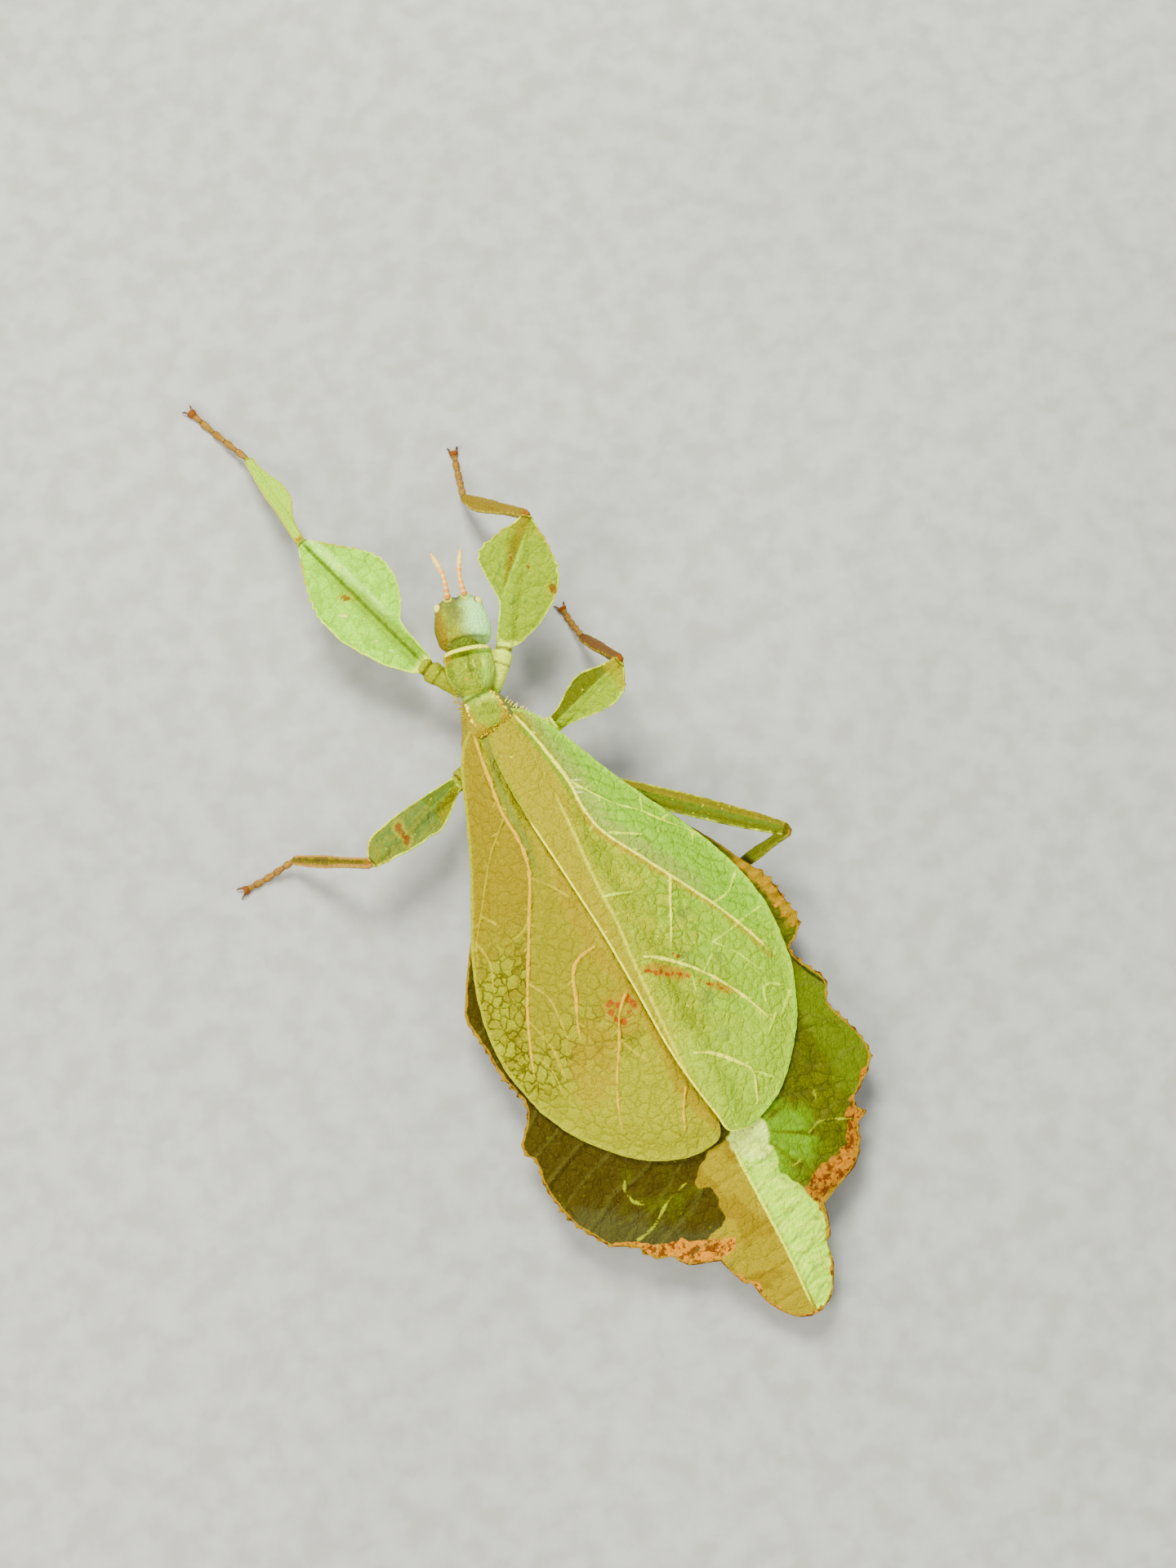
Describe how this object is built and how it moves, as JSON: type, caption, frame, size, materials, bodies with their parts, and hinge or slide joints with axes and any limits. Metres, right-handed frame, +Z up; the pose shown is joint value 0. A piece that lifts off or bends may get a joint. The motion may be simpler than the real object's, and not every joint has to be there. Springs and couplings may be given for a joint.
{
  "type": "leaf insect",
  "caption": "Life-size adult female leaf insect at rest: leaf-shaped closed wings with raised veins, broad toothed abdomen, lobed legs spread on the floor, short feelers.",
  "frame": {"origin": "on the floor, at the middle of the bounding box of the whole insect", "axes": "+Y towards the head along the abdomen's axis, +Z up, +X to the insect's right"},
  "size_m": [0.0502, 0.1122, 0.0121],
  "materials": {
    "wing_left": "waxy olive yellow with raised cream veins",
    "wing_right": "waxy lime green with raised cream veins",
    "lobes": "dark leaf green with a yellow rim and brown crisp edges",
    "tail": "golden green with a cream midrib",
    "head": "grey green, finely grained",
    "thorax": "yellow green with cream tubercles",
    "leaf": "lime green leaf with a darker midrib",
    "shank": "brown olive, slightly glossy",
    "feeler": "orange pink with pale joints",
    "eye": "pale glossy dome"
  },
  "bodies": {
    "root": {"head": "head", "labrum": "head", "palp_l": "feeler", "palp_r": "feeler", "eye_l": "eye", "eye_r": "eye", "antenna_l": "feeler", "antenna_r": "feeler", "pronotum": "thorax", "mesothorax": "thorax", "metathorax": "thorax", "abdomen": "lobes", "abdomen_tip": "tail", "cercus_l": "tail", "cercus_r": "tail", "tegmen_l": "wing_left", "tegmen_r": "wing_right", "front_left_coxa": "leaf", "front_left_femur": "leaf", "front_left_tibia": "shank", "front_left_tarsus": "shank", "front_right_coxa": "leaf", "front_right_femur": "leaf", "front_right_tibia": "shank", "front_right_tarsus": "shank", "mid_left_coxa": "leaf", "mid_left_femur": "leaf", "mid_left_tibia": "shank", "mid_left_tarsus": "shank", "mid_right_coxa": "leaf", "mid_right_femur": "leaf", "mid_right_tibia": "shank", "mid_right_tarsus": "shank", "hind_left_coxa": "leaf", "hind_left_femur": "leaf", "hind_left_tibia": "shank", "hind_left_tarsus": "shank", "hind_right_coxa": "leaf", "hind_right_femur": "leaf", "hind_right_tibia": "shank", "hind_right_tarsus": "shank"}
  },
  "joints": []
}
